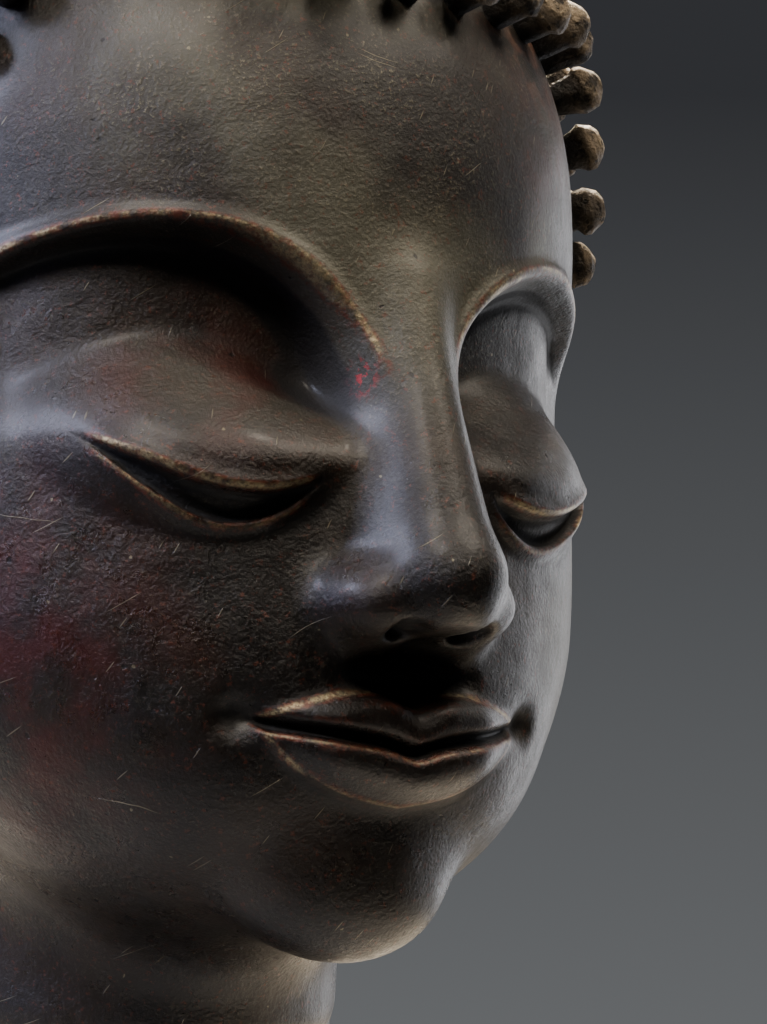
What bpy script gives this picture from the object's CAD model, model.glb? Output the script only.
"""Looks of a large cast bronze head: fine face, ears, snail curls, lacquer, wear and dust.

One finger of the canon is the unit of every length unless a line says millimetres or metres.
Heights run up from the flat cut of the neck and the face looks along -Y.
"""

import logging
import math
from dataclasses import dataclass, field
from enum import Enum

import bmesh
import bpy
import numpy as np
from mathutils import Matrix, Vector, noise


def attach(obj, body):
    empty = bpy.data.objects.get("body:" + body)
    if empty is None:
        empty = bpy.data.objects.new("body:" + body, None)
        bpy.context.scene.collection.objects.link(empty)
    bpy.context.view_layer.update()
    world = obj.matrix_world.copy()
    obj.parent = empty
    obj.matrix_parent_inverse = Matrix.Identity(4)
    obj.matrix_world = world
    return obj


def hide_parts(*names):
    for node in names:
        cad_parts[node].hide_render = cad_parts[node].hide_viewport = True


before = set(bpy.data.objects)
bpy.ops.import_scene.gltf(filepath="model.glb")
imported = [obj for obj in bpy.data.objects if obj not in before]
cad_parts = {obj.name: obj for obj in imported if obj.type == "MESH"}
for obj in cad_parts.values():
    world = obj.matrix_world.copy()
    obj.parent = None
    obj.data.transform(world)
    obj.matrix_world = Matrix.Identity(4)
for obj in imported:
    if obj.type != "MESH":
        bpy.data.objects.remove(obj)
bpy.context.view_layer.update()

Array = np.ndarray
Egg = tuple[tuple[float, float, float], tuple[float, float, float]]
Bar = tuple[tuple[float, float], tuple[float, float], float, float]
Spot = tuple[tuple[float, float, float], float, float]

LOG = logging.getLogger("bronze_head")
BODY = "root"
NODE = "buddha_head"


class Side(Enum):
    """The head's own two sides, each with the sign of its X."""

    RIGHT = -1
    LEFT = 1


@dataclass(frozen=True)
class Canon:
    """The traditional measures of the head, in fingers."""

    finger: float = 0.030
    chin: float = 4.0
    third: float = 4.0
    bump: float = 3.0
    mouth: float = 6.8
    eyes: float = 10.0
    forward: float = 0.90

    @property
    def nose_base(self) -> float:
        """Height of the nose's base."""
        return self.chin + self.third

    @property
    def brow(self) -> float:
        """Height of the brow."""
        return self.nose_base + self.third

    @property
    def hairline(self) -> float:
        """Height of the hairline over the middle of the forehead."""
        return self.brow + self.third

    @property
    def crown(self) -> float:
        """Height of the skull's top."""
        return self.hairline + self.third


CANON = Canon()

# Place of the plain face's front along Y, and how often a curl's rope goes round
FRONT = -6.10
WHORL_TURNS = 3.2


def ease(low: float, high: float, value: Array) -> Array:
    """Changes smoothly from 0 to 1 between two values.

    Args:
        low: Where the result leaves 0.
        high: Where the result reaches 1.
        value: The values to judge.

    Returns:
        The share of the way from low to high, smoothed at both ends.
    """
    share = np.clip((value - low) / (high - low), 0.0, 1.0)
    return share * share * (3.0 - 2.0 * share)


def ridge(distance: Array, width: float) -> Array:
    """Gives a round ridge of height 1 where the distance is nought."""
    return np.exp(-((distance / width) ** 2))


def join(first: Array, second: Array, blend: float) -> Array:
    """Runs two forms together.

    Args:
        first: Distances to one form.
        second: Distances to the other form.
        blend: Width over which they flow into each other.

    Returns:
        Distances to both forms as one.
    """
    share = np.maximum(blend - np.abs(first - second), 0.0) / blend
    return np.minimum(first, second) - share * share * blend / 4.0


def cut(first: Array, second: Array, blend: float) -> Array:
    """Takes the second form out of the first, with a soft edge."""
    return -join(-first, second, blend)


def egg(x: Array, y: Array, z: Array, form: Egg) -> Array:
    """Measures the distance to an egg.

    Args:
        x: Distances from the middle line.
        y: Places along Y.
        z: Heights.
        form: Centre and half-sizes.

    Returns:
        Distances, negative inside.
    """
    (cx, cy, cz), (rx, ry, rz) = form
    px, py, pz = (x - cx) / rx, (y - cy) / ry, (z - cz) / rz
    size = np.sqrt(px * px + py * py + pz * pz)
    slope = np.sqrt((px / rx) ** 2 + (py / ry) ** 2 + (pz / rz) ** 2)
    return size * (size - 1.0) / np.maximum(slope, 1e-6)


def bar(x: Array, y: Array, z: Array, form: Bar) -> Array:
    """Measures the distance to a round bar on the middle line.

    Args:
        x: Distances from the middle line.
        y: Places along Y.
        z: Heights.
        form: The two ends as (y, height), and the radius at each.

    Returns:
        Distances, negative inside.
    """
    (y1, z1), (y2, z2), start, end = form
    dy, dz = y2 - y1, z2 - z1
    along = np.clip(((y - y1) * dy + (z - z1) * dz) / (dy * dy + dz * dz), 0.0, 1.0)
    off = np.sqrt(x * x + (y - y1 - along * dy) ** 2 + (z - z1 - along * dz) ** 2)
    return off - (start + (end - start) * along)


def graded(share: Array, places: tuple[float, ...], densities: tuple[float, ...]) -> Array:
    """Spreads even shares so that they crowd where the surface needs detail.

    Args:
        share: Even shares from 0 to 1.
        places: Values along the surface, rising.
        densities: How crowded the result is at each place.

    Returns:
        One value along the surface for each share.
    """
    fine = np.linspace(places[0], places[-1], 6000)
    total = np.cumsum(np.interp(fine, places, densities))
    return np.interp(share, (total - total[0]) / (total[-1] - total[0]), fine)


@dataclass
class HeadForm:
    """The head without ears and curls, as a field of distances that rays are traced to."""

    cranium: Egg = ((0.0, 0.55, CANON.crown - 6.0), (5.5, 6.65, 5.9))
    jaw: Egg = ((0.0, FRONT + 4.95, CANON.chin + 5.25), (5.1, 4.95, 5.3))
    jaw_lean: float = 0.20
    bump: Egg = ((0.0, 0.9, CANON.crown + CANON.bump - 3.9), (3.355, 3.458, 3.7))
    mouth_mound: Egg = ((0.0, FRONT + 1.88, CANON.mouth + 0.15), (2.7, 1.8, 2.0))
    chin_mound: Egg = ((0.0, FRONT + 1.15, CANON.chin + 1.0), (1.3, 1.0, 0.95))
    nose_tip: Egg = ((0.0, FRONT - 0.90, CANON.nose_base + 0.78), (0.60, 0.70, 0.56))
    nose_wing: Egg = ((0.84, FRONT - 0.15, CANON.nose_base + 0.52), (0.42, 0.78, 0.38))
    nose_under: Egg = ((0.0, FRONT - 1.6, CANON.nose_base - 0.40), (1.9, 1.75, 0.60))
    nostril: Egg = ((0.46, FRONT - 0.75, CANON.nose_base + 0.2), (0.22, 0.36, 0.24))
    nose_ridge: Bar = (
        (FRONT + 0.25, CANON.brow + 0.4), (FRONT - 1.0, CANON.nose_base + 1.0), 0.36, 0.48)
    nose_flank: Bar = (
        (FRONT + 0.95, CANON.brow + 0.2), (FRONT - 0.3, CANON.nose_base + 0.75), 0.55, 0.98)
    socket: tuple[float, float, float, float] = (2.95, CANON.eyes + 0.9, 2.45, 2.2)
    lid: tuple[float, float, float, float, float] = (2.50, CANON.eyes + 0.50, 1.85, 1.35, 0.42)
    eye_corners: tuple[float, float] = (1.22, 3.90)
    mouth_half: float = 1.95
    upper_lip: float = 0.66
    lower_lip: float = 0.76
    neck_radius: float = 3.05
    neck_flare: float = 0.60
    neck_creases: tuple[float, ...] = (1.4, 2.8)
    sight_top: float = CANON.brow + 1.0
    sight_low: float = CANON.mouth - 0.3
    sight_turn: float = 5.0
    far: float = 16.0
    plain_steps: int = 18
    face_steps: int = 24
    hair_angles: tuple[float, ...] = (0, 20, 40, 48, 54, 59, 64, 76, 95, 102, 109, 128, 180)
    hair_rises: tuple[float, ...] = (
        0.35, 0.42, 0.46, 0.0, -0.9, -1.7, -2.3, -2.6, -2.8, -6.4, -8.4, -9.1, -9.3)

    @property
    def quarter(self) -> float:
        """How far the sight turns from the crown to look level."""
        return self.sight_turn * math.pi / 2.0

    @property
    def span(self) -> float:
        """How far the sight then moves down the axis."""
        return self.sight_top - self.sight_low

    @property
    def last_fall(self) -> float:
        """How far the sight turns in all, to look straight down."""
        return 2.0 * self.quarter + self.span

    def ring(self, x: Array, z: Array) -> Array:
        """Gives distances outside the eye's round hollow, as seen from the front."""
        cx, cz, rx, rz = self.socket
        return (np.hypot((x - cx) / rx, (z - cz) / rz) - 1.0) * (rx + rz) / 2.0

    def brow_relief(self, x: Array, z: Array) -> Array:
        """Raises the brow and sinks the hollow below it.

        Args:
            x: Distances from the middle line.
            z: Heights.

        Returns:
            Height over the plain face.
        """
        ring = self.ring(x, z)
        above = ease(CANON.eyes + 0.1, CANON.eyes + 1.4, z) * (1.0 - ease(4.2, 5.3, x))
        depth = 0.30 + 0.50 * ease(4.2, 1.0, x)
        hollow = ease(0.0, -0.36, ring) * depth
        return (0.06 * ridge(ring - 0.06, 0.12) - hollow) * above

    def lid_lines(self, x: Array) -> tuple[Array, Array, Array]:
        """Gives the lines of both lids.

        Args:
            x: Distances from the middle line.

        Returns:
            Share across the eye, and the heights of the upper and the lower lid's edge.
        """
        inner, outer = self.eye_corners
        across = np.clip((x - inner) / (outer - inner), 0.0, 1.0)
        level = CANON.eyes + 0.42 * across
        upper = level - 0.40 * np.sin(np.pi * across ** 0.9)
        lower = level - 0.76 * np.sin(np.pi * across ** 0.9)
        return across, upper, lower

    def lid_relief(self, x: Array, z: Array) -> Array:
        """Raises the round lid and its rims, and opens the narrow eye under it.

        Args:
            x: Distances from the middle line.
            z: Heights.

        Returns:
            Height over the plain face.
        """
        cx, cz, rx, rz, height = self.lid
        dome = np.clip(1.0 - ((x - cx) / rx) ** 2 - ((z - cz) / rz) ** 2, 0.0, 1.0)
        across, upper, lower = self.lid_lines(x)
        inside = ease(0.0, 0.20, across) * ease(1.0, 0.78, across)
        opening = ease(0.04, -0.05, z - upper) * ease(-0.05, 0.04, z - lower)
        rims = 0.06 * ridge(z - upper - 0.09, 0.09) + 0.05 * ridge(z - lower + 0.10, 0.10)
        return height * ease(0.0, 1.0, dome) + inside * (rims - 0.15 * opening)

    def lip_lines(self, x: Array) -> tuple[Array, Array, Array, Array]:
        """Gives the lines of the mouth.

        Args:
            x: Distances from the middle line.

        Returns:
            Share of the mouth's half-width, and the heights of its middle, upper and lower line.
        """
        share = np.clip(x / self.mouth_half, 0.0, 1.0)
        level = CANON.mouth + 0.07 * np.sin(np.pi * share) + 0.26 * share ** 2.4
        middle = level - 0.07 * ridge(x, 0.3)
        upper = middle + (self.upper_lip - 0.12 * ridge(x, 0.28)) * (1.0 - share ** 2.0)
        return share, middle, upper, level - self.lower_lip * (1.0 - share ** 3.0)

    def lip_relief(self, x: Array, z: Array) -> Array:
        """Raises full lips with thin rims, and sinks their line and corners.

        Args:
            x: Distances from the middle line.
            z: Heights.

        Returns:
            Height over the plain face.
        """
        share, middle, upper, lower = self.lip_lines(x)
        up = (z - middle) / np.maximum(upper - middle, 0.06)
        down = (middle - z) / np.maximum(middle - lower, 0.06)
        top = 0.27 * np.clip(1.0 - ((up - 0.35) / 0.65) ** 2, 0.0, 1.0) ** 0.75 * (up >= 0.0)
        low = 0.33 * np.clip(1.0 - ((down - 0.4) / 0.6) ** 2, 0.0, 1.0) ** 0.75 * (down > 0.0)
        end = ease(self.mouth_half + 0.25, self.mouth_half - 0.25, x)
        line = -0.17 * ridge(z - middle, 0.085) * end
        rims = 0.045 * (ridge(z - upper, 0.08) + ridge(z - lower, 0.08)) * end
        corner = np.hypot(x - self.mouth_half - 0.15, z - CANON.mouth - 0.30)
        return (top + low) * ease(1.0, 0.5, share) + line + rims - 0.17 * ridge(corner, 0.24)

    def rubbed(self, x: Array, z: Array) -> Array:
        """Marks the thin rims that hands and cloths have rubbed bare.

        Args:
            x: Distances from the middle line.
            z: Heights.

        Returns:
            1 on the rims of brows, lids and lips, and 0 away from them.
        """
        brow = ridge(self.ring(x, z) - 0.05, 0.06)
        brow = brow * ease(CANON.eyes + 1.0, CANON.eyes + 1.8, z)
        brow = 0.85 * brow * (1.0 - ease(4.4, 5.2, x))
        across, upper, lower = self.lid_lines(x)
        inside = ease(0.02, 0.12, across) * ease(0.99, 0.90, across)
        lids = np.maximum(ridge(z - upper - 0.06, 0.055), 0.7 * ridge(z - lower + 0.09, 0.06))
        _, seam, lip_top, lip_end = self.lip_lines(x)
        end = ease(self.mouth_half + 0.1, self.mouth_half - 0.2, x)
        lips = np.maximum(ridge(z - lip_top, 0.055), 0.8 * ridge(z - lip_end, 0.06))
        lips = np.maximum(lips, 0.7 * ridge(z - seam + 0.13, 0.04))
        return np.maximum(np.maximum(brow, lids * inside), lips * end)

    def neck(self, x: Array, y: Array, z: Array) -> Array:
        """Measures the distance to the neck, wider at its cut and creased.

        Args:
            x: Distances from the middle line.
            y: Places along Y.
            z: Heights.

        Returns:
            Distances, negative inside.
        """
        girth = self.neck_radius + self.neck_flare * ease(3.0, -0.5, z)
        for crease in self.neck_creases:
            girth = girth - 0.09 * ridge(z - crease - 0.06 * y, 0.20)
        side = np.hypot(x, y / 1.1) - girth
        return np.maximum(np.maximum(side, z - CANON.nose_base - 1.5), -3.0 - z)

    def plain(self, x: Array, y: Array, z: Array) -> Array:
        """Measures the distance to skull, jaw, neck and bump alone.

        Args:
            x: Distances from the middle line.
            y: Places along Y.
            z: Heights.

        Returns:
            Distances, negative inside.
        """
        neck = self.neck(x, y, z)
        y = y + CANON.forward
        jaw = egg(x, y + self.jaw_lean * (self.jaw[0][2] - z), z, self.jaw)
        head = join(egg(x, y, z, self.cranium), jaw, 2.4)
        head = join(head, neck, 1.0)
        return join(head, egg(x, y, z, self.bump), 0.9)

    def distance(self, x: Array, y: Array, z: Array) -> Array:
        """Measures the distance to the whole head.

        Args:
            x: Places along X.
            y: Places along Y.
            z: Heights.

        Returns:
            Distances, negative inside.
        """
        x = np.abs(x)
        head = self.plain(x, y, z)
        near = y + CANON.forward < -2.0
        if near.any():
            head[near] = self.face(head[near], x[near], y[near] + CANON.forward, z[near])
        return head

    def face(self, head: Array, x: Array, y: Array, z: Array) -> Array:
        """Adds mouth, chin, brows, eyes and nose to the plain head.

        Args:
            head: Distances to the plain head.
            x: Distances from the middle line.
            y: Places along Y, from the head's own middle.
            z: Heights.

        Returns:
            Distances to the head with its face.
        """
        front = ease(FRONT + 4.1, FRONT + 2.7, y)
        head = join(head, egg(x, y, z, self.mouth_mound), 1.0)
        head = join(head, egg(x, y, z, self.chin_mound), 0.7)
        head = head - front * self.brow_relief(x, z)
        nose = join(bar(x, y, z, self.nose_ridge), bar(x, y, z, self.nose_flank), 0.5)
        nose = join(nose, egg(x, y, z, self.nose_tip), 0.4)
        head = join(head, nose, 0.6)
        head = join(head, egg(x, y, z, self.nose_wing), 0.42)
        head = cut(head, egg(x, y, z, self.nose_under), 0.15)
        head = cut(head, egg(x, y, z, self.nostril), 0.12)
        groove = 0.08 * ridge(x, 0.22) * ease(CANON.mouth + 0.5, CANON.mouth + 0.8, z)
        groove = groove * ease(CANON.nose_base + 0.3, CANON.nose_base, z)
        return head + front * (groove - self.lid_relief(x, z) - self.lip_relief(x, z))

    def trace(self, start: Array, out: Array) -> Array:
        """Finds where rays that come from outside first meet the head.

        Args:
            start: Where each ray starts.
            out: The outward direction of each ray.

        Returns:
            The points met.
        """
        place = start.copy()
        for _ in range(self.plain_steps):
            gap = self.plain(np.abs(place[:, 0]), place[:, 1], place[:, 2])
            place = place - out * (gap * 0.9)[:, None]
        near = place[:, 1] + CANON.forward < -1.6
        point, ray = place[near] + out[near] * 2.2, out[near]
        for _ in range(self.face_steps):
            gap = self.distance(point[:, 0], point[:, 1], point[:, 2])
            point = point - ray * (gap * 0.85)[:, None]
        place[near] = point
        return place

    def seen(self, angle: Array, fall: Array) -> Array:
        """Finds the head's points as seen from the stretch of its axis.

        Args:
            angle: Angles from the face round the axis.
            fall: How far the sight has turned and moved from the crown.

        Returns:
            The points seen.
        """
        level = np.clip(fall - self.quarter, 0.0, self.span)
        tilt = (fall - level) / self.sight_turn
        side = np.sin(tilt)
        out = np.stack([side * np.sin(angle), -side * np.cos(angle), np.cos(tilt)], 1)
        start = out * self.far
        start[:, 2] += self.sight_top - level
        return self.trace(start, out)

    def at_height(self, angle: Array, height: Array) -> Array:
        """Finds the head's points at these angles and heights.

        Args:
            angle: Angles from the face round the axis.
            height: Heights.

        Returns:
            The points, seen level from the axis.
        """
        out = np.stack([np.sin(angle), -np.cos(angle), np.zeros_like(angle)], 1)
        start = out * self.far
        start[:, 2] = height
        return self.trace(start, out)

    def slope(self, points: Array, step: float = 0.05) -> Array:
        """Gives the head's outward directions at its points.

        Args:
            points: Points on the head.
            step: Length over which the direction is felt.

        Returns:
            Unit directions.
        """
        base = self.distance(*points.T)
        found = np.stack([self.distance(*(points + step * axis).T) - base for axis in np.eye(3)], 1)
        return found / np.linalg.norm(found, axis=1)[:, None]

    def roundness(self, points: Array, step: float) -> Array:
        """Tells ridges from hollows.

        Args:
            points: Points on the head.
            step: Size of the ridges to feel for.

        Returns:
            Curvature times the step: over 0 on a ridge, under 0 in a hollow.
        """
        total = -6.0 * self.distance(*points.T)
        for axis in np.eye(3):
            for sign in (-step, step):
                total = total + self.distance(*(points + sign * axis).T)
        return total / step

    def hairline(self, angle: Array) -> Array:
        """Gives the hairline's height at these angles from the face."""
        rise = np.interp(np.degrees(np.abs(angle)), self.hair_angles, self.hair_rises)
        return CANON.hairline + rise

    def fall_at(self, angle: Array, height: Array) -> Array:
        """Tells how far the sight has turned to see the head at these heights.

        Args:
            angle: Angles from the face round the axis.
            height: Heights.

        Returns:
            The sight's falls from the crown.
        """
        ray = self.at_height(angle, height)
        level = np.clip(height, self.sight_low, self.sight_top)
        tilt = np.arctan2(np.hypot(ray[:, 0], ray[:, 1]), ray[:, 2] - level)
        return tilt * self.sight_turn + self.sight_top - level


def linear(code: str) -> tuple[float, float, float, float]:
    """Turns an sRGB colour into the linear one that a shader takes.

    Args:
        code: Six hex digits.

    Returns:
        Red, green, blue and an alpha of 1.
    """
    parts = [int(code[at:at + 2], 16) / 255.0 for at in (0, 2, 4)]
    made = [part / 12.92 if part <= 0.04045 else ((part + 0.055) / 1.055) ** 2.4 for part in parts]
    return made[0], made[1], made[2], 1.0


def add(tree: bpy.types.NodeTree, kind: str, settings: dict | None = None,
        links: dict | None = None) -> bpy.types.Node:
    """Adds a node with its settings and links.

    Args:
        tree: The material's or world's node tree.
        kind: The node's type name, without its ShaderNode part.
        settings: Values by the name of a property, or by the name or number of an input.
        links: Output sockets by the name or number of the input they feed.

    Returns:
        The new node.
    """
    made = tree.nodes.new("ShaderNode" + kind)
    for key, value in (settings or {}).items():
        if isinstance(key, str) and hasattr(made, key):
            setattr(made, key, value)
        else:
            made.inputs[key].default_value = value
    for key, source in (links or {}).items():
        tree.links.new(source, made.inputs[key])
    return made


def per_metre(millimetres: float) -> float:
    """Gives a pattern's scale on coordinates in metres from its real size."""
    return 1000.0 / millimetres


@dataclass
class Palette:
    """Builds masks and colours on one material's node tree."""

    tree: bpy.types.NodeTree
    place: bpy.types.NodeSocket = field(init=False)

    def __post_init__(self) -> None:
        """Finds the piece's own coordinates."""
        self.place = add(self.tree, "TexCoord").outputs["Object"]

    def grain(self, size: float, detail: float = 2.0, roughness: float = 0.5,
              at: bpy.types.NodeSocket | None = None) -> bpy.types.NodeSocket:
        """Makes a cloudy pattern.

        Args:
            size: Size of its clouds in millimetres.
            detail: How many finer layers it has.
            roughness: How strong the finer layers are.
            at: Coordinates, or none for the piece's own.

        Returns:
            Values from 0 to 1, about 0.5 in the middle.
        """
        settings = {"Scale": per_metre(size), "Detail": detail, "Roughness": roughness}
        return add(self.tree, "TexNoise", settings, {"Vector": at or self.place}).outputs[0]

    def band(self, value: bpy.types.NodeSocket, low: float, high: float,
             to: tuple[float, float] = (0.0, 1.0)) -> bpy.types.NodeSocket:
        """Stretches a range of values smoothly.

        Args:
            value: The values.
            low: The value that gives the first end.
            high: The value that gives the second end.
            to: Both ends.

        Returns:
            The stretched values, held at both ends.
        """
        settings = {"interpolation_type": "SMOOTHSTEP", "From Min": low, "From Max": high,
                    "To Min": to[0], "To Max": to[1]}
        return add(self.tree, "MapRange", settings, {"Value": value}).outputs["Result"]

    def math(self, operation: str, first: bpy.types.NodeSocket,
             second: bpy.types.NodeSocket | float) -> bpy.types.NodeSocket:
        """Works out one sum.

        Args:
            operation: The sum's name, such as MULTIPLY.
            first: Its first value.
            second: Its second value.

        Returns:
            The result.
        """
        if isinstance(second, float):
            made = add(self.tree, "Math", {"operation": operation, 1: second}, {0: first})
        else:
            made = add(self.tree, "Math", {"operation": operation}, {0: first, 1: second})
        return made.outputs[0]

    def attribute(self, name: str) -> bpy.types.NodeSocket:
        """Reads a value that the piece's points carry."""
        return add(self.tree, "Attribute", {"attribute_name": name}).outputs["Fac"]

    def over(self, under: bpy.types.NodeSocket | str, colour: bpy.types.NodeSocket | str,
             mask: bpy.types.NodeSocket) -> bpy.types.NodeSocket:
        """Lays one colour over another.

        Args:
            under: The colour below, as a socket or hex digits.
            colour: The colour on top.
            mask: Where the top colour covers.

        Returns:
            The mixed colour.
        """
        made = add(self.tree, "Mix", {"data_type": "RGBA"}, {0: mask})
        for number, part in ((6, under), (7, colour)):
            if isinstance(part, str):
                made.inputs[number].default_value = linear(part)
            else:
                self.tree.links.new(part, made.inputs[number])
        return made.outputs[2]

    def blend(self, under: bpy.types.NodeSocket | float, value: bpy.types.NodeSocket | float,
              mask: bpy.types.NodeSocket) -> bpy.types.NodeSocket:
        """Lays one value over another.

        Args:
            under: The value below.
            value: The value on top.
            mask: Where the top value covers.

        Returns:
            The mixed value.
        """
        made = add(self.tree, "Mix", {"data_type": "FLOAT"}, {0: mask})
        for number, part in ((2, under), (3, value)):
            if isinstance(part, float):
                made.inputs[number].default_value = part
            else:
                self.tree.links.new(part, made.inputs[number])
        return made.outputs[0]

    def strongest(self, masks: list[bpy.types.NodeSocket]) -> bpy.types.NodeSocket:
        """Gives the highest of several masks."""
        most = masks[0]
        for mask in masks[1:]:
            most = self.math("MAXIMUM", most, mask)
        return most

    def near(self, spots: tuple[Spot, ...]) -> bpy.types.NodeSocket:
        """Marks the surface near some spots.

        Args:
            spots: Each spot's middle, the reach at which its mark has faded, and its strength.

        Returns:
            The strength at a spot and 0 past every reach.
        """
        marks = []
        for middle, reach, strength in spots:
            metres = [CANON.finger * part for part in middle]
            settings = {"operation": "DISTANCE", 1: metres}
            gap = add(self.tree, "VectorMath", settings, {0: self.place}).outputs["Value"]
            end = reach * CANON.finger
            marks.append(self.band(gap, end, end * 0.25, (0.0, strength)))
        return self.strongest(marks)

    def scratches(self, length: float, width: float, turn: float,
                  seldom: float) -> bpy.types.NodeSocket:
        """Draws thin straight scratches that all run one way.

        Args:
            length: Longest scratch in millimetres.
            width: Widest scratch in millimetres.
            turn: How far the scratches lean from level, in degrees.
            seldom: Share of the places for a scratch that stay bare.

        Returns:
            1 in a scratch and 0 beside it.
        """
        spread = 0.16
        axes = add(self.tree, "SeparateXYZ", {}, {0: self.place})
        bend = add(self.tree, "TexNoise", {"Scale": per_metre(30)}, {"Vector": self.place})
        sway = self.math("MULTIPLY", bend.outputs[0], 0.006)
        flat = add(self.tree, "CombineXYZ", {}, {
            0: self.math("ADD", axes.outputs[0], sway),
            1: self.math("ADD", axes.outputs[2], sway)})
        size = [length / 2000.0 / spread, width / 2000.0 / spread, 1.0]
        turned = add(self.tree, "Mapping", {
            "vector_type": "TEXTURE", "Rotation": (0.0, 0.0, math.radians(turn)), "Scale": size},
            {"Vector": flat.outputs[0]})
        cells = add(self.tree, "TexVoronoi", {"voronoi_dimensions": "2D", "Scale": 1.0},
                    {"Vector": turned.outputs[0]})
        split = add(self.tree, "SeparateColor", {}, {0: cells.outputs["Color"]})
        kept = self.math("GREATER_THAN", split.outputs[0], seldom)
        thin = self.band(cells.outputs["Distance"], spread, spread * 0.55)
        return self.math("MULTIPLY", thin, kept)

    def spots(self, apart: float, size: float, seldom: float) -> bpy.types.NodeSocket:
        """Scatters small round spots.

        Args:
            apart: Mean distance between their places in millimetres.
            size: Their width in millimetres.
            seldom: Share of the places that stay bare.

        Returns:
            1 in a spot and 0 beside it.
        """
        wobble = add(self.tree, "TexNoise", {"Scale": per_metre(size)}, {"Vector": self.place})
        push = add(self.tree, "VectorMath", {"operation": "SCALE", "Scale": size * 0.001},
                   {0: wobble.outputs[1]})
        moved = add(self.tree, "VectorMath", {"operation": "ADD"},
                    {0: self.place, 1: push.outputs[0]})
        cells = add(self.tree, "TexVoronoi", {"Scale": per_metre(apart)},
                    {"Vector": moved.outputs[0]})
        split = add(self.tree, "SeparateColor", {}, {0: cells.outputs["Color"]})
        kept = self.math("GREATER_THAN", split.outputs[1], seldom)
        near = self.band(cells.outputs["Distance"], size / apart * 0.5, size / apart * 0.3)
        return self.math("MULTIPLY", near, kept)

    def bump(self, height: bpy.types.NodeSocket, millimetres: float,
             under: bpy.types.NodeSocket | None = None) -> bpy.types.NodeSocket:
        """Turns heights into relief that catches light.

        Args:
            height: Heights from 0 to 1.
            millimetres: What a height of 1 stands for.
            under: A coarser relief that this one lies on.

        Returns:
            The normal to shade with.
        """
        links = {"Height": height}
        if under is not None:
            links["Normal"] = under
        settings = {"Strength": 1.0, "Distance": millimetres / 1000.0}
        return add(self.tree, "Bump", settings, links).outputs[0]


def new_material(name: str) -> tuple[bpy.types.Material, Palette, bpy.types.Node]:
    """Starts a node material.

    Args:
        name: What the finish is.

    Returns:
        The material, its palette and its shader.
    """
    made = bpy.data.materials.new(name)
    made.use_nodes = True
    return made, Palette(made.node_tree), made.node_tree.nodes["Principled BSDF"]


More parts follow.
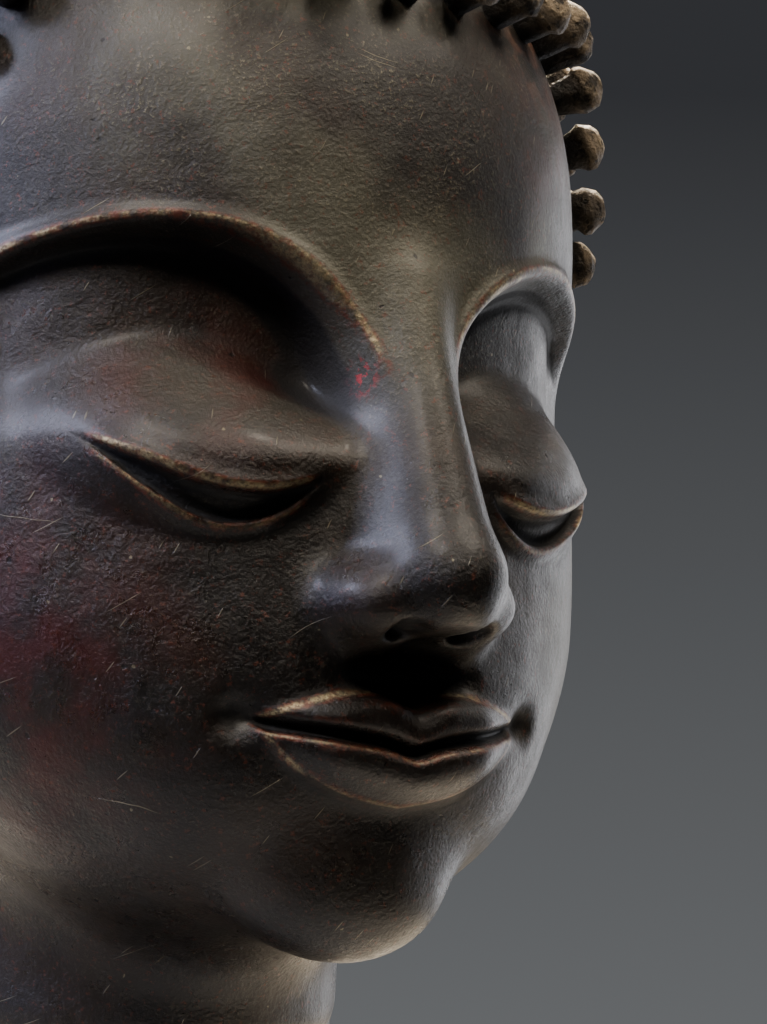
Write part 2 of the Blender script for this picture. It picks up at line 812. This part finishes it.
@dataclass(frozen=True)
class LacqueredBronze:
    """Cast bronze under old black-brown lacquer, rubbed bare on its ridges.

    Its dark lacquer gives crisp dark reflections, its dust a fine pale grain, and the bare metal
    of its ridges a thin bright line.
    """

    lacquer: str = "110D0B"
    brown: str = "20160F"
    olive: str = "504E42"
    dust: str = "877F69"
    red: str = "471A14"
    scarlet: str = "9C2B2D"
    rust: str = "63301D"
    worn: str = "6F4C3B"
    bare: str = "B9AA84"
    gap: str = "080605"
    chip: str = "8A8268"
    scratched: str = "8F8770"
    filmed: tuple[Spot, ...] = (((-0.4, -6.4, 14.6), 5.4, 1.0), ((4.6, -4.2, 7.6), 4.4, 1.0))
    stained: tuple[Spot, ...] = (
        ((-4.3, -4.4, 7.6), 3.4, 1.0), ((-2.2, -5.9, 11.3), 2.0, 0.7),
        ((2.9, -5.9, 15.0), 1.8, 0.8))
    thinned: tuple[Spot, ...] = (((2.4, -5.2, 16.2), 1.7, 1.0),)
    flecked: tuple[Spot, ...] = (((-0.62, -6.85, 11.3), 0.36, 1.0),)
    scratches: tuple[tuple[float, float, float, float], ...] = (
        (20, 0.40, -14.0, 0.991), (13, 0.35, 38.0, 0.988), (5, 0.45, 66.0, 0.975))

    def colour(self, paint: Palette, bare: bpy.types.NodeSocket,
               hollow: bpy.types.NodeSocket, scratch: bpy.types.NodeSocket,
               pit: bpy.types.NodeSocket) -> bpy.types.NodeSocket:
        """Layers lacquer, stains, dust, rubbed metal and dirt.

        Args:
            paint: The material's palette.
            bare: Where the metal is rubbed bare.
            hollow: Where dirt lies.
            scratch: Where the surface is scratched.
            pit: Where the casting is pitted.

        Returns:
            The colour.
        """
        base = paint.over(self.lacquer, self.brown, paint.band(paint.grain(46, 4.0), 0.42, 0.66))
        film = paint.band(paint.grain(88, 3.0), 0.38, 0.62)
        filmed = paint.near(self.filmed)
        film = paint.math("MULTIPLY", film, paint.band(filmed, 0.0, 1.0, (0.06, 1.0)))
        base = paint.over(base, self.olive, film)
        cloud = paint.band(paint.grain(38, 5.0, 0.6), 0.40, 0.62, (0.0, 0.8))
        stain = paint.math("MULTIPLY", paint.near(self.stained), cloud)
        base = paint.over(base, self.red, stain)
        worn = paint.math("MULTIPLY", paint.near(self.thinned),
                          paint.band(paint.grain(12, 4.0, 0.6), 0.48, 0.58, (0.0, 0.8)))
        base = paint.over(base, self.worn, worn)
        fine = paint.band(paint.grain(1.5, 3.0, 0.75), 0.52, 0.76)
        where = paint.band(paint.grain(26, 3.0), 0.34, 0.70, (0.10, 0.66))
        where = paint.math("MULTIPLY", where, paint.band(filmed, 0.0, 0.8, (0.28, 1.0)))
        base = paint.over(base, self.dust, paint.math("MULTIPLY", fine, where))
        chips = paint.spots(11.0, 1.6, 0.72)
        base = paint.over(base, self.chip, paint.math("MULTIPLY", chips, 0.6))
        fleck = paint.band(paint.grain(2.6, 4.0, 0.75), 0.58, 0.66, (0.0, 0.5))
        base = paint.over(base, self.rust, fleck)
        edge = paint.band(paint.attribute("edge"), 0.10, 0.50)
        mottle = paint.band(paint.grain(3.4, 4.0, 0.75), 0.42, 0.62, (0.05, 0.8))
        base = paint.over(base, self.rust, paint.math("MULTIPLY", edge, mottle))
        base = paint.over(base, self.bare, bare)
        drop = paint.band(paint.grain(3.4, 4.0, 0.6), 0.53, 0.60)
        drop = paint.math("MULTIPLY", drop, paint.near(self.flecked))
        base = paint.over(base, self.scarlet, drop)
        base = paint.over(base, self.scratched, paint.math("MULTIPLY", scratch, 0.55))
        base = paint.over(base, self.gap, paint.math("MULTIPLY", pit, 0.85))
        return paint.over(base, self.gap, hollow)

    def make(self) -> bpy.types.Material:
        """Builds the node material."""
        material, paint, shader = new_material("rubbed_black_brown_lacquer_on_cast_bronze")
        ragged = paint.math("MULTIPLY", paint.band(paint.grain(9.0, 4.0, 0.65), 0.34, 0.60),
                            paint.band(paint.grain(1.8, 4.0, 0.75), 0.40, 0.58, (0.25, 1.0)))
        bare = paint.band(paint.attribute("edge"), 0.42, 0.92, (0.0, 0.8))
        bare = paint.math("MULTIPLY", bare, ragged)
        hollow = paint.band(paint.attribute("hollow"), 0.10, 0.75, (0.0, 0.92))
        scratch = paint.strongest([paint.scratches(*each) for each in self.scratches])
        pit = paint.spots(17.0, 2.6, 0.55)
        tree = material.node_tree
        colour = self.colour(paint, bare, hollow, scratch, pit)
        tree.links.new(colour, shader.inputs["Base Color"])
        metal = paint.blend(0.26, 1.0, bare)
        tree.links.new(paint.blend(metal, 0.0, hollow), shader.inputs["Metallic"])
        gloss = paint.band(paint.grain(14, 4.0, 0.6), 0.30, 0.72, (0.24, 0.40))
        gloss = paint.blend(gloss, 0.52, paint.near(self.filmed))
        grit = paint.band(paint.grain(1.9, 3.0, 0.7), 0.54, 0.72, (0.0, 0.7))
        gloss = paint.blend(gloss, 0.64, grit)
        gloss = paint.blend(gloss, 0.34, bare)
        tree.links.new(paint.blend(gloss, 0.75, hollow), shader.inputs["Roughness"])
        shader.inputs["Coat Weight"].default_value = 0.12
        shader.inputs["Coat Roughness"].default_value = 0.24
        relief = paint.bump(paint.grain(24, 4.0, 0.55), 1.7)
        relief = paint.bump(paint.grain(1.5, 4.0, 0.75), 0.50, relief)
        relief = paint.bump(paint.math("SUBTRACT", scratch, pit), 0.20, relief)
        tree.links.new(relief, shader.inputs["Normal"])
        return material


@dataclass(frozen=True)
class DustyCurlBronze:
    """The curls' rough bronze, tan with old dust on top and near black in its grooves.

    Dust on rough metal takes away nearly all its shine.
    """

    gap: str = "0D0A08"
    brown: str = "3A332B"
    tan: str = "7F6E57"
    pale: str = "B8A78A"

    def make(self) -> bpy.types.Material:
        """Builds the node material."""
        material, paint, shader = new_material("dusty_rough_cast_bronze")
        crest = paint.attribute("crest")
        split = add(paint.tree, "SeparateXYZ", {}, {0: add(
            paint.tree, "Attribute", {"attribute_name": "whorl"}).outputs["Vector"]})
        out = paint.math("SQRT", paint.math(
            "ADD", paint.math("POWER", split.outputs[0], 2.0),
            paint.math("POWER", split.outputs[1], 2.0)), 0.0)
        phase = paint.math("ADD", paint.math("MULTIPLY", out, 2.0 * math.pi * WHORL_TURNS),
                           paint.math("ARCTAN2", split.outputs[1], split.outputs[0]))
        rope = paint.band(paint.math("COSINE", phase, 0.0), -0.75, 0.25)
        crest = paint.math("MULTIPLY", crest, paint.band(rope, 0.0, 1.0, (0.62, 1.0)))
        cloud = paint.grain(24, 4.0, 0.6)
        speck = paint.band(paint.grain(2.4, 4.0, 0.7), 0.42, 0.62)
        colour = paint.over(self.gap, self.brown, paint.band(crest, 0.05, 0.30))
        dusty = paint.math("MULTIPLY", paint.band(crest, 0.18, 0.62),
                           paint.band(cloud, 0.34, 0.60, (0.10, 1.0)))
        colour = paint.over(colour, self.tan, dusty)
        bright = paint.math("MULTIPLY", paint.band(crest, 0.40, 0.85), speck)
        bright = paint.math("MULTIPLY", bright, paint.band(cloud, 0.38, 0.62, (0.05, 0.6)))
        colour = paint.over(colour, self.pale, bright)
        grime = paint.band(paint.grain(6.0, 5.0, 0.7), 0.50, 0.38)
        pit = paint.math("MAXIMUM", paint.spots(7.5, 3.0, 0.35), grime)
        colour = paint.over(colour, self.gap, paint.math("MULTIPLY", pit, 0.8))
        tree = material.node_tree
        tree.links.new(colour, shader.inputs["Base Color"])
        gloss = paint.band(paint.grain(9, 3.0), 0.3, 0.7, (0.50, 0.78))
        tree.links.new(gloss, shader.inputs["Roughness"])
        tree.links.new(paint.band(cloud, 0.40, 0.65, (0.40, 0.05)), shader.inputs["Metallic"])
        relief = paint.bump(rope, 1.0)
        relief = paint.bump(paint.grain(5.0, 4.0, 0.65), 2.0, relief)
        relief = paint.bump(paint.grain(1.6, 3.0, 0.7), 0.5, relief)
        relief = paint.bump(paint.math("SUBTRACT", speck, pit), 0.5, relief)
        tree.links.new(relief, shader.inputs["Normal"])
        return material


def store(mesh: bpy.types.Mesh, name: str, values: Array) -> None:
    """Keeps one value at each of a mesh's points.

    Args:
        mesh: The mesh.
        name: The value's name, which its material reads.
        values: One number for each point.
    """
    layer = mesh.attributes.new(name, "FLOAT", "POINT")
    layer.data.foreach_set("value", np.asarray(values, np.float32))


def kept(work: bmesh.types.BMesh, name: str) -> bpy.types.Mesh:
    """Turns a working mesh into a mesh of its own and frees it."""
    made = bpy.data.meshes.new(name)
    work.to_mesh(made)
    work.free()
    return made


def places_of(mesh: bpy.types.Mesh) -> Array:
    """Reads a mesh's points as rows of x, y and z."""
    flat = np.empty(len(mesh.vertices) * 3)
    mesh.vertices.foreach_get("co", flat)
    return flat.reshape(-1, 3)


def put(mesh: bpy.types.Mesh, points: Array) -> None:
    """Moves a mesh's points.

    Args:
        mesh: The mesh.
        points: Their new places, in metres.
    """
    mesh.vertices.foreach_set("co", points.ravel())
    mesh.update()


def finished(name: str, mesh: bpy.types.Mesh, material: bpy.types.Material) -> bpy.types.Object:
    """Makes a piece of the head from its mesh.

    Args:
        name: The piece's name.
        mesh: Its mesh, in place.
        material: Its finish.

    Returns:
        The piece, riding on the head's body.
    """
    mesh.name = name
    mesh.materials.clear()
    mesh.materials.append(material)
    mesh.shade_smooth()
    piece = bpy.data.objects.new(name, mesh)
    bpy.context.scene.collection.objects.link(piece)
    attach(piece, BODY)
    LOG.info("%s: %d points, %d faces", name, len(mesh.vertices), len(mesh.polygons))
    return piece


def uneven(points: Array, size: float, depth: float, seed: float) -> Array:
    """Gives the slow unevenness of a hand-worked casting.

    Args:
        points: Points in fingers.
        size: Width of its swells in fingers.
        depth: Their height in fingers.
        seed: A number that tells one piece's pattern from another's.

    Returns:
        Height at each point.
    """
    shift = Vector((seed, -seed, 2.0 * seed))
    return depth * np.array([noise.noise(Vector(point) / size + shift) for point in points])


@dataclass
class HeadSkin:
    """Face, neck and scalp as one fine closed mesh whose rows follow the carved lines."""

    form: HeadForm
    columns: int = 312
    column_places: tuple[float, ...] = (-180, -85, -62, -46, 46, 62, 85, 180)
    column_densities: tuple[float, ...] = (1.0, 1.2, 3.4, 5.4, 5.4, 3.4, 1.2, 1.0)
    row_counts: tuple[int, ...] = (
        14, 34, 8, 8, 32, 5, 6, 5, 18, 15, 5, 5, 10, 9, 13, 6, 18, 22, 18, 15, 9)

    def carved_heights(self, x: Array) -> list[Array]:
        """Gives the heights of the carved lines that rows follow, from brow to lower lip.

        Args:
            x: Distances from the middle line.

        Returns:
            Heights line by line, each lower than the last.
        """
        form = self.form
        cx, cz, rx, rz = form.socket
        share = np.clip((x - cx) / (rx * 1.03), -0.94, 0.94)
        brow = cz + rz * 1.03 * np.sqrt(1.0 - share ** 2)
        _, upper, lower = form.lid_lines(x)
        middle = (upper + lower) / 2.0
        gap = np.maximum(upper - middle - 0.01, 0.04)
        _, seam, lip_top, lip_end = form.lip_lines(x)
        lip_top = np.maximum(lip_top, seam + 0.24)
        lip_end = np.minimum(lip_end, seam - 0.24)
        base = np.full_like(x, CANON.nose_base)
        return [brow + 0.30, brow, brow - 0.32, middle + gap + 0.16, middle + gap,
                middle - gap, middle - gap - 0.18, base + 0.45, base - 0.12,
                lip_top + 0.13, lip_top - 0.09, seam + 0.10, seam - 0.10, lip_end + 0.10,
                lip_end - 0.12]

    def falls(self, angle: Array) -> Array:
        """Spreads each column's rows between the carved lines.

        Args:
            angle: The columns' angles from the face.

        Returns:
            Falls by row and column.
        """
        form = self.form
        lines = [np.zeros_like(angle), np.full_like(angle, 4.7)]
        for number in range(15):
            reach = np.full_like(angle, 6.5)
            for _ in range(4):
                height = self.carved_heights(reach * np.abs(np.sin(angle)))[number]
                reach = np.hypot(*form.at_height(angle, height)[:, :2].T)
            side = ease(1.15, 0.75, np.abs(angle))
            plain = self.carved_heights(np.full_like(angle, 2.4))[number]
            lines.append(form.fall_at(angle, height * side + plain * (1.0 - side)))
        for fall in (16.0, 17.6, 19.2, 21.0):
            lines.append(np.full_like(angle, fall))
        lines.append(np.full_like(angle, form.last_fall))
        rows = [lines[0][None, :]]
        for first, second, count in zip(lines, lines[1:], self.row_counts):
            share = np.arange(1, count + 1)[:, None] / count
            rows.append(first[None, :] * (1.0 - share) + second[None, :] * share)
        return np.concatenate(rows)

    def ball(self) -> bpy.types.Mesh:
        """Makes the ball of points that the head is drawn from."""
        work = bmesh.new()
        rows = sum(self.row_counts)
        bmesh.ops.create_uvsphere(work, u_segments=self.columns, v_segments=rows, radius=1.0)
        return kept(work, "ball")

    def drawn(self, ball: Array) -> Array:
        """Draws the ball's points out to the head.

        Args:
            ball: Points on a unit ball.

        Returns:
            Points on the head, in fingers.
        """
        turn = np.arctan2(ball[:, 0], -ball[:, 1]) / (2.0 * np.pi) + 0.5
        column = np.round(turn * self.columns).astype(int) % self.columns
        share = np.arange(self.columns) / self.columns
        angles = np.radians(graded(share, self.column_places, self.column_densities))
        down = np.arccos(np.clip(ball[:, 2], -1.0, 1.0)) / np.pi
        row = np.round(down * sum(self.row_counts)).astype(int)
        return self.form.seen(angles[column], self.falls(angles)[row, column])

    def cut_neck(self, mesh: bpy.types.Mesh) -> None:
        """Cuts the neck off flat and closes the cut.

        Args:
            mesh: The head's mesh, in metres.
        """
        work = bmesh.new()
        work.from_mesh(mesh)
        everything = [*work.verts, *work.edges, *work.faces]
        bmesh.ops.bisect_plane(work, geom=everything, dist=1e-6, plane_co=(0.0, 0.0, 0.0),
                               plane_no=(0.0, 0.0, 1.0), clear_inner=True)
        rim = [edge for edge in work.edges if edge.is_boundary]
        bmesh.ops.edgeloop_fill(work, edges=rim)
        bmesh.ops.recalc_face_normals(work, faces=work.faces)
        work.to_mesh(mesh)
        work.free()

    def build(self, material: bpy.types.Material) -> bpy.types.Object:
        """Makes the head's skin with its wear and dirt marked.

        Args:
            material: Its finish.

        Returns:
            The piece.
        """
        mesh = self.ball()
        points = self.drawn(places_of(mesh))
        out = self.form.slope(points)
        points = points + out * uneven(points, 1.1, 0.016, 3.0)[:, None]
        put(mesh, points * CANON.finger)
        self.cut_neck(mesh)
        points = places_of(mesh) / CANON.finger
        front = (points[:, 1] < -1.5) & (points[:, 2] > 3.0)
        edge, hollow = np.zeros(len(points)), np.zeros(len(points))
        fine = self.form.roundness(points[front], 0.13)
        broad = self.form.roundness(points[front], 0.42)
        rubbed = self.form.rubbed(np.abs(points[front, 0]), points[front, 2])
        edge[front] = np.clip(np.maximum(rubbed, fine * 0.3 + broad * 0.2 - 0.40), 0.0, 1.0)
        hollow[front] = np.clip(-fine * 0.6 - broad * 0.35 - 0.10, 0.0, 1.0)
        hair = points[:, 2] > self.form.hairline(np.arctan2(points[:, 0], -points[:, 1]))
        store(mesh, "edge", edge)
        store(mesh, "hollow", np.where(hair, 1.0, hollow))
        return finished("head_skin", mesh, material)


@dataclass
class Ear:
    """One long ear with its rim, shell, fold, flap and the long slit of its lobe."""

    side: Side
    top: float = 12.5
    end: float = 4.5
    half_width: float = 1.22
    thickness: float = 0.62
    rings: int = 56
    spokes: int = 96

    @staticmethod
    def relief(y: float, z: float) -> float:
        """Gives the height of the outer face over the plain ear.

        Args:
            y: Place across the ear's outline, -1 to 1.
            z: Place up the outline, -1 to 1.

        Returns:
            The height in fingers.
        """
        lobe = float(ease(-0.20, -0.50, z))
        rim = 0.20 * ridge(math.hypot(y, z) - 0.84, 0.12) * (1.0 - 0.6 * lobe)
        shell = 0.46 * ridge(math.hypot((y + 0.30) / 0.42, (z - 0.18) / 0.26), 1.0)
        fold = math.hypot((y + 0.15) / 0.55, (z - 0.22) / 0.42) - 1.0
        fold = 0.16 * ridge(fold, 0.16) * (1.0 - lobe)
        flap = 0.20 * ridge(math.hypot((y + 0.78) / 0.28, (z - 0.08) / 0.10), 1.0)
        slit = 0.22 * ridge(y / 0.30, 1.0) * float(ease(-0.30, -0.45, z) * ease(-0.92, -0.74, z))
        return float(rim + fold + flap - shell - slit)

    def placed(self, ball: Vector) -> Vector:
        """Moves one point of a unit ball to the ear.

        Args:
            ball: The point on the ball.

        Returns:
            Its place in metres.
        """
        y, z, out = ball
        spread = math.hypot(y, z)
        wider = spread ** 0.7
        y, z = y * wider / max(spread, 1e-6), z * wider / max(spread, 1e-6)
        height = (self.top + self.end) / 2.0 + (self.top - self.end) / 2.0 * z
        width = self.half_width * (0.74 + 0.34 * float(ease(-0.2, 0.6, z)))
        back = -CANON.forward + 1.15 + 0.25 * z + width * y
        root = 4.95 + 0.40 * float(ease(-0.7, 0.0, z)) - 0.12 * float(ease(0.3, 1.0, z))
        body = self.thickness * 0.5 * math.sqrt(max(0.0, 1.0 - wider ** 4))
        body = body if out > 0.0 else -body * 1.5
        lift = self.relief(y, z) * float(ease(0.0, 0.35, out))
        splay = 0.34 * (width * y + self.half_width) * float(ease(-0.9, 0.1, z))
        across = self.side.value * (root + splay + body + lift)
        return Vector((across, back, height)) * CANON.finger

    def build(self, material: bpy.types.Material) -> bpy.types.Object:
        """Makes the ear.

        Args:
            material: Its finish.

        Returns:
            The piece.
        """
        work = bmesh.new()
        bmesh.ops.create_uvsphere(work, u_segments=self.spokes, v_segments=self.rings, radius=1.0)
        edge, hollow = [], []
        for vert in work.verts:
            wide = math.hypot(vert.co.y, vert.co.z) ** 0.7
            turn = math.atan2(vert.co.z, vert.co.y)
            height = self.relief(wide * math.cos(turn), wide * math.sin(turn))
            outside = vert.co.x > 0.0
            edge.append(float(np.clip(height * 2.4 - 0.10, 0.0, 0.7)) * outside)
            hollow.append(float(np.clip(-height * 2.2, 0.0, 0.9)) * outside)
        for vert in work.verts:
            vert.co = self.placed(vert.co)
        bmesh.ops.recalc_face_normals(work, faces=work.faces)
        mesh = kept(work, "ear")
        store(mesh, "edge", np.array(edge))
        store(mesh, "hollow", np.array(hollow))
        return finished(f"{self.side.name.lower()}_ear", mesh, material)


@dataclass
class SnailCurl:
    """One curl: a small round knob with a rope winding in to its middle."""

    radius: float = 0.345
    middle: float = 0.37
    tall: float = 0.33
    skirt: float = 0.15
    groove: float = 0.014
    spokes: int = 12
    rings: int = 10

    def build(self) -> bpy.types.Mesh:
        """Makes the curl about its own upright axis, in fingers."""
        work = bmesh.new()
        bmesh.ops.create_uvsphere(work, u_segments=self.spokes, v_segments=self.rings, radius=1.0)
        lower = [vert for vert in work.verts if vert.co.z < -0.7]
        bmesh.ops.delete(work, geom=lower, context="VERTS")
        whorl, crest = [], []
        for vert in work.verts:
            turn = math.atan2(vert.co.y, vert.co.x)
            down = math.acos(max(-1.0, min(1.0, vert.co.z)))
            out = down / math.pi
            rope = math.cos(2.0 * math.pi * WHORL_TURNS * out + turn) * min(1.0, out * 6.0)
            size = self.radius + self.groove * rope
            wide = size * math.sin(down) * (1.0 - 0.28 * float(ease(1.6, 2.2, down)))
            high = self.middle + (self.tall + self.groove * rope) * math.cos(down)
            foot = vert.co.z < -0.5
            vert.co = Vector((wide * math.cos(turn), wide * math.sin(turn),
                              -self.skirt if foot else high))
            whorl += (out * math.cos(turn), out * math.sin(turn), 0.0)
            crest.append(0.0 if foot else 0.5 + 0.5 * math.cos(down))
        made = kept(work, "curl")
        store(made, "crest", np.array(crest))
        layer = made.attributes.new("whorl", "FLOAT_VECTOR", "POINT")
        layer.data.foreach_set("vector", whorl)
        return made


@dataclass
class Hair:
    """Rows of snail curls from the hairline up over the bump on the crown."""

    form: HeadForm
    curl: SnailCurl = field(default_factory=SnailCurl)
    pitch: float = 0.86
    depth: float = 0.13
    seed: int = 11

    def lengths(self, points: Array) -> Array:
        """Gives the lengths from the first point along the points."""
        steps = np.linalg.norm(np.diff(points, axis=0), axis=1)
        return np.concatenate([[0.0], np.cumsum(steps)])

    def row_falls(self, step: float, last: float) -> Array:
        """Finds where level rows lie.

        Args:
            step: Distance between rows.
            last: Where the rows end.

        Returns:
            How far the sight has turned at each row.
        """
        fall = np.linspace(0.0, last, 400)
        arcs = [self.lengths(self.form.seen(np.full_like(fall, angle), fall))
                for angle in np.radians([60.0, 90.0, 120.0, 180.0])]
        mean = np.mean(arcs, axis=0)
        return np.interp(np.arange(step, mean[-1], step), mean, fall)

    def row(self, fall: float, step: float, shift: float) -> Array:
        """Finds the places of one level row.

        Args:
            fall: How far the sight has turned there.
            step: Distance between places.
            shift: Share of a step by which the row is staggered.

        Returns:
            The places on the head.
        """
        angle = np.linspace(0.0, math.pi, 361)
        line = self.lengths(self.form.seen(angle, np.full_like(angle, fall)))
        count = max(2, round(line[-1] / step))
        half = np.interp(np.arange(shift, count + 0.1) / count * line[-1], line, angle)
        inner = (half > 1e-6) & (half < math.pi - 1e-6)
        both = np.concatenate([half, -half[inner]])
        return self.form.seen(both, np.full_like(both, fall))

    def border(self) -> Array:
        """Finds the curls along the hairline."""
        angle = np.linspace(0.0, math.pi, 721)
        line = self.lengths(self.form.at_height(angle, self.form.hairline(angle)))
        share = np.linspace(0.0, line[-1], round(line[-1] / self.pitch) + 1)
        half = np.interp(share, line, angle)
        ring = np.concatenate([half, -half[-2:0:-1]])
        return self.form.at_height(ring, self.form.hairline(ring))

    def spread(self, step: float, between: float) -> Array:
        """Covers the hair with level rows of places.

        Args:
            step: Distance between places along a row.
            between: Distance between rows.

        Returns:
            The places.
        """
        rows = [self.form.seen(np.zeros(1), np.zeros(1))]
        last = self.form.last_fall - self.form.quarter * 0.75
        for number, fall in enumerate(self.row_falls(between, last)):
            rows.append(self.row(fall, step, 0.5 * (number % 2)))
        found = np.concatenate(rows)
        return found[found[:, 2] > self.form.hairline(np.arctan2(found[:, 0], -found[:, 1]))]

    def places(self) -> Array:
        """Finds the middle of every curl: hairline, rows above it, and any gap left."""
        curls = self.border()
        inner = self.spread(self.pitch, self.pitch * 0.88)
        gaps = np.linalg.norm(inner[:, None, :] - curls[None, :, :], axis=2)
        curls = np.concatenate([curls, inner[gaps.min(axis=1) >= self.pitch * 0.72]])
        for spot in self.spread(self.pitch * 0.4, self.pitch * 0.4):
            if np.linalg.norm(curls - spot, axis=1).min() >= self.pitch * 0.74:
                curls = np.concatenate([curls, spot[None, :]])
        return curls

    def build(self, material: bpy.types.Material) -> bpy.types.Object:
        """Sets a curl at every place, each a little its own.

        Args:
            material: Their finish.

        Returns:
            The piece.
        """
        draw = np.random.default_rng(self.seed)
        curls = self.places()
        ray = curls.copy()
        ray[:, 2] -= np.clip(curls[:, 2], self.form.sight_low, self.form.sight_top)
        out = self.form.slope(curls) + ray / np.linalg.norm(ray, axis=1)[:, None]
        out = out / np.linalg.norm(out, axis=1)[:, None]
        one = self.curl.build()
        work = bmesh.new()
        for middle, way in zip(curls, out):
            lean = Vector(way + draw.normal(0.0, 0.05, 3)).normalized()
            turn = lean.to_track_quat("Z", "Y").to_matrix().to_4x4()
            spin = Matrix.Rotation(draw.uniform(0.0, 2.0 * math.pi), 4, "Z")
            size = Matrix.Diagonal((*draw.normal(1.0, 0.04, 2), draw.normal(1.0, 0.06), 1.0))
            at = Matrix.Translation(Vector(middle + way * self.depth) * CANON.finger)
            copy = one.copy()
            copy.transform(at @ Matrix.Scale(CANON.finger, 4) @ turn @ size @ spin)
            work.from_mesh(copy)
            bpy.data.meshes.remove(copy)
        mesh = kept(work, "curls")
        bpy.data.meshes.remove(one)
        LOG.info("%d curls", len(curls))
        return finished("snail_curls", mesh, material)


@dataclass
class PhotoCamera:
    """The camera at the photograph's viewing angle, lengths in fingers."""

    turn: float = -28.0
    distance: float = 37.1
    height: float = 7.3
    yaw: float = 5.52
    pitch: float = 4.35
    roll: float = 2.2
    lens: float = 88.9
    sensor: float = 36.0

    def build(self) -> None:
        """Sets up the camera and makes it the scene's."""
        data = bpy.data.cameras.new("camera")
        data.sensor_fit = "VERTICAL"
        data.sensor_height = self.sensor
        data.lens = self.lens
        camera = bpy.data.objects.new("camera", data)
        bpy.context.scene.collection.objects.link(camera)
        angle = math.radians(self.turn)
        away = Vector((math.sin(angle), -math.cos(angle), 0.0)) * self.distance
        camera.location = (away + Vector((0.0, 0.0, self.height))) * CANON.finger
        facing = Matrix.Rotation(angle - math.radians(self.yaw), 3, "Z")
        raised = Matrix.Rotation(math.radians(90.0 + self.pitch), 3, "X")
        rolled = Matrix.Rotation(math.radians(self.roll), 3, "Z")
        camera.rotation_euler = (facing @ raised @ rolled).to_euler()
        bpy.context.scene.camera = camera


@dataclass
class StudioLight:
    """One soft light that looks at the middle of the face."""

    name: str
    turn: float
    tilt: float
    distance: float
    size: tuple[float, float]
    power: float
    colour: str

    def build(self) -> None:
        """Hangs the light."""
        data = bpy.data.lights.new(self.name, "AREA")
        data.shape = "RECTANGLE"
        data.size, data.size_y = self.size
        data.energy = self.power
        data.color = linear(self.colour)[:3]
        light = bpy.data.objects.new(self.name, data)
        bpy.context.scene.collection.objects.link(light)
        turn, tilt = math.radians(self.turn), math.radians(self.tilt)
        way = Vector((math.sin(turn) * math.cos(tilt), -math.cos(turn) * math.cos(tilt),
                      math.sin(tilt)))
        middle = Vector((0.0, -0.09, 0.30))
        light.location = middle + way * self.distance
        light.rotation_euler = way.to_track_quat("Z", "Y").to_euler()


@dataclass
class Studio:
    """A pale floor, a plain grey room and soft lights."""

    floor_radius: float = 0.36
    room_low: str = "66686A"
    room_high: str = "333437"
    room_front: float = 0.30
    lights: tuple[StudioLight, ...] = (
        StudioLight("key", -54.0, 47.0, 1.5, (0.56, 0.40), 15.0, "FFF3E2"),
        StudioLight("forehead", 40.0, 52.0, 1.5, (0.90, 0.50), 14.0, "FFF2E0"),
        StudioLight("curl_shadow", 14.0, 66.0, 1.5, (0.16, 0.16), 8.0, "FFF2E0"),
        StudioLight("nose_side", -100.0, 31.0, 1.5, (0.34, 0.40), 24.0, "D3D9F6"),
        StudioLight("near_edge", -116.0, 6.0, 1.4, (0.3, 0.8), 4.0, "B9BCF6"),
        StudioLight("far_edge", 106.0, 0.0, 1.5, (0.9, 1.1), 9.0, "E8E8EC"),
        StudioLight("curl_light", 136.0, 46.0, 1.4, (0.4, 0.4), 95.0, "FFE9CC"),
        StudioLight("back", 180.0, 30.0, 1.8, (0.9, 0.9), 8.0, "F4F6FF"),
    )

    def floor(self) -> None:
        """Lays the round floor that the head stands on."""
        work = bmesh.new()
        bmesh.ops.create_cone(work, cap_ends=True, segments=96, radius1=self.floor_radius,
                              radius2=self.floor_radius, depth=0.02)
        bmesh.ops.translate(work, verts=work.verts, vec=(0.0, 0.0, -0.0105))
        mesh = kept(work, "floor")
        material, paint, shader = new_material("matt_pale_floor")
        tone = paint.over("B4B3AF", "BCBBB6", paint.grain(60, 3.0))
        material.node_tree.links.new(tone, shader.inputs["Base Color"])
        shader.inputs["Roughness"].default_value = 0.85
        mesh.materials.append(material)
        floor = bpy.data.objects.new("floor", mesh)
        bpy.context.scene.collection.objects.link(floor)

    def room(self) -> None:
        """Makes the grey room, darker towards its ceiling and in front of the head."""
        world = bpy.data.worlds.new("grey_room")
        world.use_nodes = True
        bpy.context.scene.world = world
        tree = world.node_tree
        way = add(tree, "TexCoord").outputs["Generated"]
        split = add(tree, "SeparateXYZ", {}, {0: way})
        ramp = add(tree, "MapRange", {"From Min": -0.13, "From Max": 0.24}, {0: split.outputs[2]})
        mixed = add(tree, "Mix", {"data_type": "RGBA", 6: linear(self.room_low),
                                  7: linear(self.room_high)}, {0: ramp.outputs[0]})
        behind = add(tree, "VectorMath", {"operation": "DOT_PRODUCT", 1: (0.5, 0.85, 0.0)},
                     {0: way}).outputs["Value"]
        strength = add(tree, "MapRange", {"From Min": -0.1, "From Max": 0.8,
                                          "To Min": self.room_front}, {0: behind})
        tree.links.new(mixed.outputs[2], tree.nodes["Background"].inputs["Color"])
        tree.links.new(strength.outputs[0], tree.nodes["Background"].inputs["Strength"])

    def build(self) -> None:
        """Sets up floor, room and lights."""
        self.floor()
        self.room()
        for light in self.lights:
            light.build()


def main() -> None:
    """Builds the head's pieces in order and reports each one."""
    logging.basicConfig(level=logging.INFO, format="%(message)s")
    form = HeadForm()
    bronze = LacqueredBronze().make()
    PhotoCamera().build()
    skin = HeadSkin(form).build(bronze)
    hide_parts(NODE)
    for side in Side:
        Ear(side).build(bronze)
    Hair(form).build(DustyCurlBronze().make())
    Studio().build()


if __name__ == "__main__":
    main()
